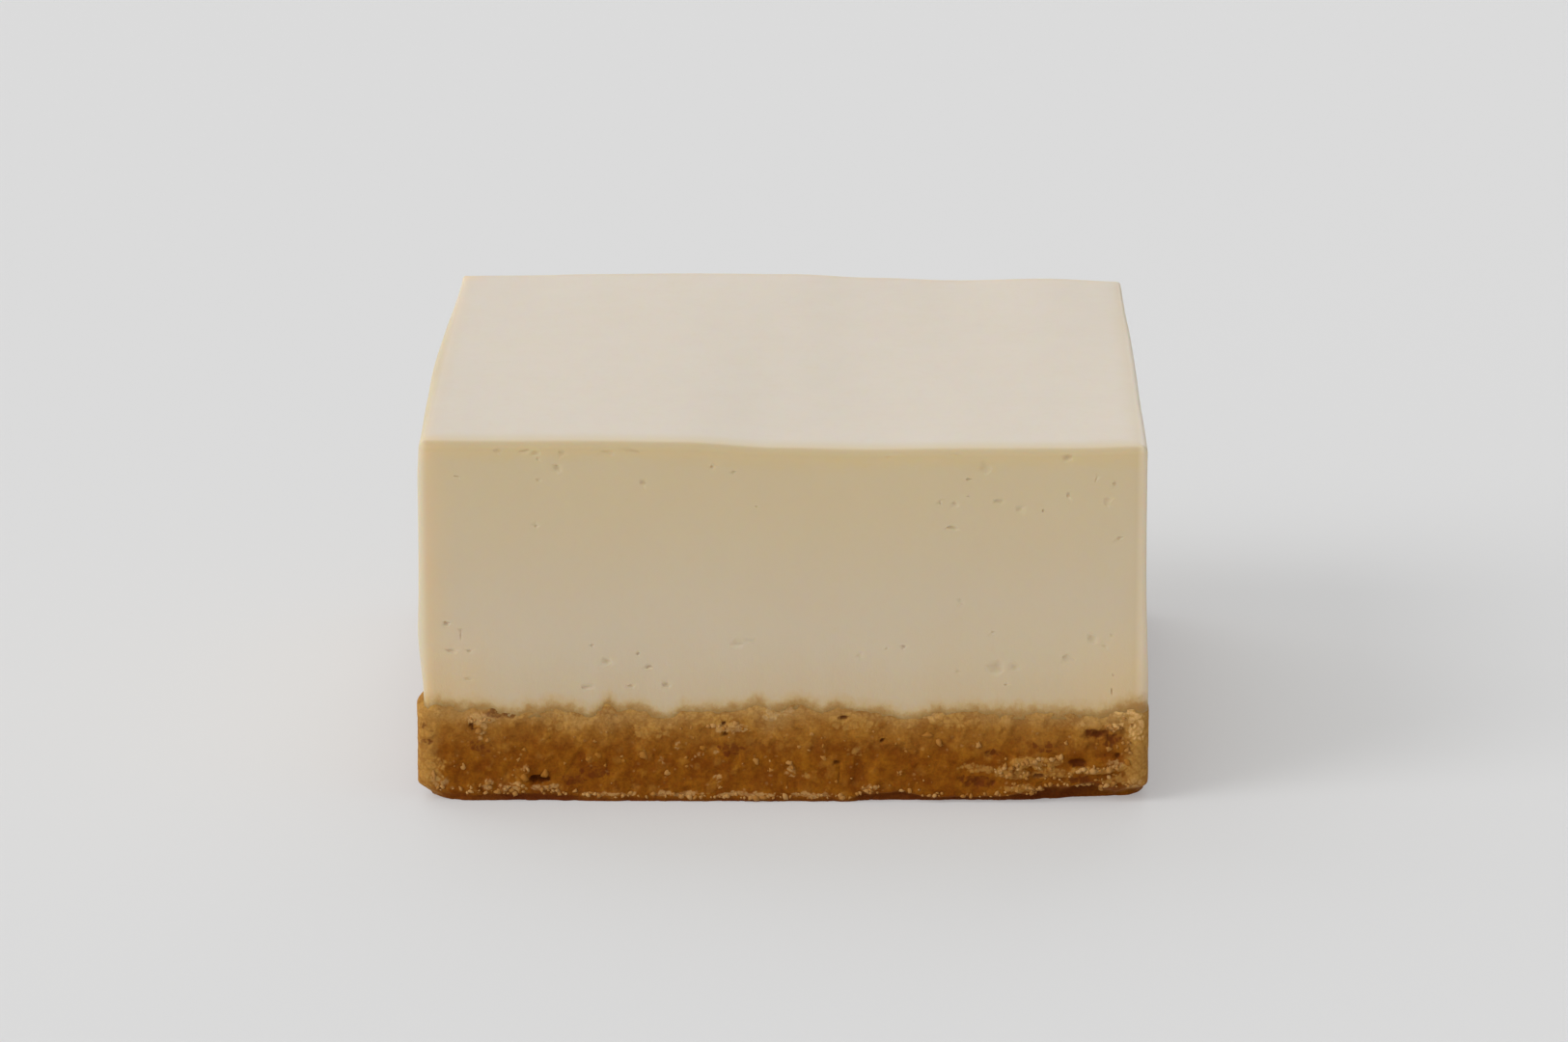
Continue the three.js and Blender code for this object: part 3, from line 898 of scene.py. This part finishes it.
sideRows = [frontRows, *(otherRows(quarter) for quarter in (1, 2, 3))]
straight = 2 * (slab["side"] - crumb["cornerRadius"])
quarterLength = straight + crumb["cornerRadius"] * math.pi / 2


# A point of the crumb's rounded square outline at a share of its length, and the way out of it
def outlinePoint(share):
    quarter, rest = divmod(share % 1.0 * 4, 1.0)
    run = rest * quarterLength
    turn = max(run - straight, 0) / crumb["cornerRadius"]
    way = Vector((math.sin(turn), -math.cos(turn), 0))
    place = Vector((min(run, straight) - straight / 2, crumb["cornerRadius"] - slab["side"], 0))
    swing = Matrix.Rotation(quarter * math.pi / 2, 3, "Z")
    return swing @ (place + way * crumb["cornerRadius"]), swing @ way


# The share of the outline's length at a place along a side
def shareAt(quarter, x):
    return (quarter + (x + straight / 2) / quarterLength) / 4


# Which side a wall point is on, and how far along it
def sideOf(point):
    if abs(point.y) > abs(point.x):
        return (0, point.x) if point.y < 0 else (2, -point.x)
    return (1, point.y) if point.x > 0 else (3, -point.y)


def lowerEdge(quarter, x):
    height, depth, soft, tint = between(lowerEdges[quarter], x)
    return height * (1 + 0.2 * lumps(Vector((x, 40 * quarter, 0)), 1.6, 8.0)), depth, soft, tint


# Moves a wall point in where the lower edge is worn, and gives the share of painted shade in the worn
# hollow there
def wearIn(point):
    moves = []
    x, y = point.xy
    for quarter, (across, along) in enumerate(((-y, x), (x, y), (y, -x), (-x, -y))):
        rise, depth, soft, tint = lowerEdge(quarter, along)
        worn = 1 - ease(point.z, rise - soft, rise + crumb["wearBlend"])
        reach = min(max((across - crumb["wearFrom"]) / crumb["wearReach"], 0), 1)
        moves.append((worn * reach * depth, worn * reach ** 8 * tint))
    front, right, back, left = (move for move, _ in moves)
    point += Vector((left - right, front - back, 0))
    return max(share for _, share in moves)


# The crumb at a wall point: its relief, the tone of its clumps, and the tints of its marks
def crumbRelief(point, over):
    bend = Vector((lumps(point, 1.3, 2.0), lumps(point, 1.3, 5.0), lumps(point, 1.3, 9.0))) * 0.5
    calm = 1 - 0.7 * ease(over, -2.2, -0.2)
    push = crumb["swellHeight"] * calm * lumps(point, crumb["swellSize"], 1.0)
    traits = {"tone": 0.0, **dict.fromkeys(tints, 0.0)}
    for size, gap, step, groove in crumb["clumps"]:
        far, centres = noise.voronoi((point + bend) / size)
        border = ease(far[1] - far[0], 0.0, gap)
        own = noise.cell(centres[0] * 7.3)
        opened = ease(lumps(point, 3.0, 11.0 + size), 0.0, 0.35)
        push += calm * (step * (own - 0.5) * border - groove * (1 - border) * opened)
        traits["tone"] += 0.5 * own
    push += crumb["fineHeight"] * calm * lumps(point, crumb["fineSize"], 6.0)
    push -= crumb["pockDepth"] * calm * ease(lumps(point, crumb["pockSize"], 21.0), 0.5, 0.7)
    quarter, x = sideOf(point)
    x, z = x + 0.3 * bend.x, point.z + 0.3 * bend.z
    torn = 0.7 * lumps(point, 0.55, 33.0)
    for markX, markZ, wide, high, out, tint in sideStrips[quarter].get(math.floor(x / 4), []):
        away = ((x - markX) / wide) ** 2 + ((z - markZ) / high) ** 2 + torn
        if away < 1:
            push += out * min(1.5 * (1 - away) ** 2, 1)
            share = min(0.5 + 0.3 * wide, 1)
            traits[tint] = max(traits[tint], share * min(1.8 * (1 - away), 1))
    traits["relief"] = push
    return traits


# A point of the crumb's wall at a share of its outline and a height, the way out there, and its traits
def crumbWallPoint(share, height):
    point, way = outlinePoint(share)
    point.z = height
    over = height - seamHeight(point)
    traits = crumbRelief(point, over)
    traits["overSeam"] = over
    drawnIn = crumb["leftDrawn"] * max(-way.x, 0) * ease(point.y, -slab["side"], 5 - slab["side"])
    traits["relief"] *= 1 - crumb["sideCalm"] * abs(way.x) * ease(-point.y, *crumb["calmSpan"])
    under = ease(over, -1.0, 0.8)
    push = (crumb["stand"] + traits["relief"] - drawnIn) * (1 - under)
    point += way * (push + (wallPush(point, way) - crumb["behind"]) * under)
    traits["worn"] = wearIn(point)
    return point, way, traits


# The crumb base: a ring drawn up row by row into the wall, closed underneath and inside the filling
def crumbBody():
    count = round(4 * quarterLength / crumb["columnStep"])
    rows = round((crumb["wallTop"] - crumb["foot"]) / crumb["rowStep"])
    bm = bmesh.new()
    along = bm.verts.layers.float.new("along")
    kept = ("tone", "relief", "overSeam", "worn", *tints)
    layers = {name: bm.verts.layers.float.new(name) for name in kept}
    ring = bmesh.ops.create_circle(bm, segments=count, radius=1)["verts"]
    for index, vert in enumerate(ring):
        vert[along] = index / count
    rings = [ring]
    edges = bm.edges[:]
    for row in range(rows + 3):
        grown = bmesh.ops.extrude_edge_only(bm, edges=edges)["geom"]
        edges = [part for part in grown if isinstance(part, bmesh.types.BMEdge)]
        rings.append([part for part in grown if isinstance(part, bmesh.types.BMVert)])
    for row, verts in enumerate(rings[2:-1]):
        height = crumb["foot"] + row * (crumb["wallTop"] - crumb["foot"]) / rows
        for vert in verts:
            vert.co, way, traits = crumbWallPoint(vert[along], height)
            for name, layer in layers.items():
                vert[layer] = traits[name]
    for under, foot, wall in zip(*rings[:3]):
        foot.co = (wall.co.x * crumb["footShare"], wall.co.y * crumb["footShare"], 0)
        under.co = (wall.co.x * crumb["innerFoot"], wall.co.y * crumb["innerFoot"], 0)
    for vert in rings[-1]:
        vert.co = outlinePoint(vert[along])[0] * crumb["innerTop"] + Vector((0, 0, crumb["wallTop"]))
    for hole in (edges, [edge for edge in bm.edges if edge.is_boundary and edge.verts[0].co.z < 0.01]):
        bmesh.ops.contextual_create(bm, geom=hole)
    bmesh.ops.recalc_face_normals(bm, faces=bm.faces)
    return bm


# The crumb's colour by height: dark low down, golden above, tan where filling was drawn over it
def heightTone(look, over):
    patch = look.grain(5, 2)
    cloud = look.grain(1.5, 3, 0.55)
    height = look.z + (patch - 0.5) * 3.4 + (cloud - 0.5) * 1.6
    base = look.mix(cloud.between(0.3, 0.7), crumb["dark"], crumb["amber"])
    base = look.mix(height.between(4.4, 8.0) * 0.6, base, crumb["golden"])
    base = look.mix(height.between(6.9, 9.3) * 0.85, base, crumb["tan"])
    return look.mix(raggedSeam(look, over).between(-1.7, -0.3) * 0.75, base, crumb["mist"])


def crumbFinish():
    look = Finish("biscuitCrumb")
    relief, tone, over = look.attribute("relief"), look.attribute("tone"), look.attribute("overSeam")
    bent = look.warp(0.9, 0.3)
    base = heightTone(look, over)
    near = abs(look.x).least(abs(look.y)) + (look.grain(1.2, 3, 0.6) - 0.5) * 1.6
    base = look.mix(near.between(slab["side"] - 2.4, slab["side"] - 0.6) * 0.65, base, crumb["gilt"])
    base = look.mix(tone.between(0.4, 0.9) * 0.2, base, crumb["golden"])
    base = look.mix((1 - tone.between(0.1, 0.4)) * 0.25, base, crumb["dark"])
    spot = 1 - look.cells(1.5, bent).between(0.15, 0.42)
    base = look.mix(spot * look.cellTone(1.5, bent).between(0.5, 0.7) * 0.25, base, crumb["golden"])
    fleck = 1 - look.cells(0.5, bent).between(0.1, 0.4)
    base = look.mix(fleck * look.cellTone(0.5, bent).between(0.82, 0.92) * 0.35, base, crumb["bead"])
    gaps = 1 - look.cells(0.8, bent, "DISTANCE_TO_EDGE").between(0.02, 0.24)
    crumbled = look.grain(2.2, 3, 0.6).between(0.42, 0.62)
    base = look.mix(gaps * crumbled * 0.3, base, crumb["dark"])
    torn = (look.grain(0.7, 4, 0.65) - 0.5) * 1.6 - gaps * 0.5
    for name, strength in tints.items():
        mark = look.attribute(name)
        ragged = mark.between(0, 0.2) * (mark + torn).between(0.1, 0.85)
        base = look.mix(ragged * strength, base, crumb[name])
    # Painted shade in the worn undercut of the lower edge
    base = look.mix(look.attribute("worn"), base, crumb["burntAndShaded"])
    # Painted shade where the relief is pushed in
    hollowShade = 1 - relief.between(-0.5, -0.1)
    base = look.mix(hollowShade * 0.7, base, crumb["burntAndShaded"])
    base = look.mix(relief.between(0.15, 0.5) * 0.25, base, crumb["bead"])
    fine = look.grain(0.25, 3, 0.6)
    shade = look.mix(fine.between(0.25, 0.75), crumb["shaded"], crumb["lit"])
    base = look.mix(1.0, base, shade, "MULTIPLY")
    normal = look.bumpMap(look.cells(0.4, bent) * 0.5 + fine * 0.5, crumb["bumpDepth"])
    roughness = crumb["roughness"] + look.grain(0.8, 2) * 0.3
    soft = {
        "IOR": 1.4,
        "Specular IOR Level": 0.1,
        "Subsurface Weight": 0.25,
        "Subsurface Radius": (1.0, 0.45, 0.12),
        "Subsurface Scale": 0.001,
    }
    return look.close(base, roughness, normal, soft)


def makeCrumbBase():
    piece = makePiece("crumbBase", crumbBody(), crumbFinish())
    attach(piece, "root")
    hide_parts("crumb_base")
    print("crumb base:", len(piece.data.polygons), "faces")


# Grains on the wall. Each kind is one mesh of uneven balls, sunk into the wall by a share of their size
grains = {
    "wallCrumbs": {
        "count": 200,
        "heights": (1.2, 7.4),
        "size": (0.15, 0.45),
        "sunk": 0.95,
        "ball": 2,
        "tones": (0.1, 0.55),
        "seed": 11,
    },
    "wallGrains": {
        "count": 160,
        "heights": (1.2, 7.4),
        "size": (0.06, 0.15),
        "sunk": 0.3,
        "ball": 1,
        "tones": (0.3, 0.9),
        "seed": 12,
    },
    "edgeGrains": {
        "count": 500,
        "spacing": (0.3, 1.7),  # least and most, as shares of an even spacing
        "size": (0.12, 0.32),
        "sunk": 0.65,
        "ball": 1,
        "tones": (0.3, 1.0),
        "seed": 13,
    },
    "rowGrains": {
        "share": 0.5,  # of the number that a row asks for
        "size": (0.14, 0.34),
        "sunk": 0.65,
        "ball": 1,
        "tones": (0.3, 1.0),
        "seed": 14,
    },
}
grainStretch = ((0.8, 1.4), (0.6, 1.0), (0.7, 1.1))  # a grain's length, breadth and height
grainRough = 0.8


# Where the grains of a kind lie: shares of the crumb's outline, and heights
def wallPlaces(kind, draw):
    settings = grains[kind]
    if kind in ("wallCrumbs", "wallGrains"):
        for _ in range(settings["count"]):
            yield draw.random(), draw.uniform(*settings["heights"])
    elif kind == "edgeGrains":
        share = 0
        while share < 1:
            share += draw.uniform(*settings["spacing"]) / settings["count"]
            point, _ = outlinePoint(share)
            rise = lowerEdge(*sideOf(point))[0]
            if lumps(point, 1.2, 3) > -0.25:
                yield share, rise + 0.05 + 0.4 * draw.random() ** 2
    else:
        for quarter, rows in enumerate(sideRows):
            for (x0, z0), (x1, z1), density in rows:
                for _ in range(round(settings["share"] * density * math.hypot(x1 - x0, z1 - z0))):
                    part = draw.random()
                    x = x0 + (x1 - x0) * part + draw.gauss(0, 0.1)
                    yield shareAt(quarter, x), z0 + (z1 - z0) * part + draw.gauss(0, 0.16)


def grainFinish(kind):
    look = Finish(kind + "Finish")
    base = look.mix(look.attribute("tone"), crumb["amber"], crumb["bead"])
    fine = look.grain(0.25, 3, 0.6)
    base = look.mix(fine.between(0.5, 0.8) * 0.4, base, crumb["amber"])
    roughness = 0.6 + look.grain(0.8, 2) * 0.2
    normal = look.bumpMap(fine, 0.03)
    return look.close(base, roughness, normal, {"IOR": 1.4, "Specular IOR Level": 0.15})


def makeGrains(kind):
    settings = grains[kind]
    draw = random.Random(settings["seed"])
    shape = bmesh.new()
    bmesh.ops.create_icosphere(shape, subdivisions=settings["ball"], radius=1)
    corners = [vert.co.copy() for vert in shape.verts]
    faces = [[vert.index for vert in face.verts] for face in shape.faces]
    shape.free()
    points, sides, tones = [], [], []
    for share, height in wallPlaces(kind, draw):
        centre, way, traits = crumbWallPoint(share, height)
        if traits["burntAndShaded"] > 0.1 or abs(way.x) > 0.05 and centre.y < 10 - slab["side"]:
            continue  # nothing fills the hollows or breaks the clean corners
        low, high = settings["size"]
        size = low + (high - low) * draw.random() ** 1.5
        centre += way * size * (0.5 - settings["sunk"])
        centre.z = max(centre.z, size * 0.9)
        angle = draw.uniform(0, 6.3)
        turn = Matrix.Rotation(angle, 3, Vector([draw.gauss(0, 1) for _ in range(3)]))
        turn = turn @ Matrix.Diagonal([draw.uniform(*span) for span in grainStretch])
        own = draw.uniform(0, 90)
        first = len(points)
        for corner in corners:
            uneven = 1 + grainRough * lumps(corner, 0.9, own)
            points.append((centre + turn @ corner * size * uneven) * mm)
        sides += [[first + index for index in face] for face in faces]
        dull, bright = settings["tones"]
        tones += [dull + (bright - dull) * draw.random() ** 1.6] * len(corners)
    mesh = bpy.data.meshes.new(kind)
    mesh.from_pydata(points, [], sides)
    keep(mesh, "tone", tones)
    mesh.shade_smooth()
    mesh.materials.append(grainFinish(kind))
    piece = bpy.data.objects.new(kind, mesh)
    bpy.context.scene.collection.objects.link(piece)
    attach(piece, "root")
    print(kind + ":", len(sides), "faces")


makeCamera()
makeStudio()
makeCheeseFilling()
makeCrumbBase()
for kind in grains:
    makeGrains(kind)
print("slice dressed")
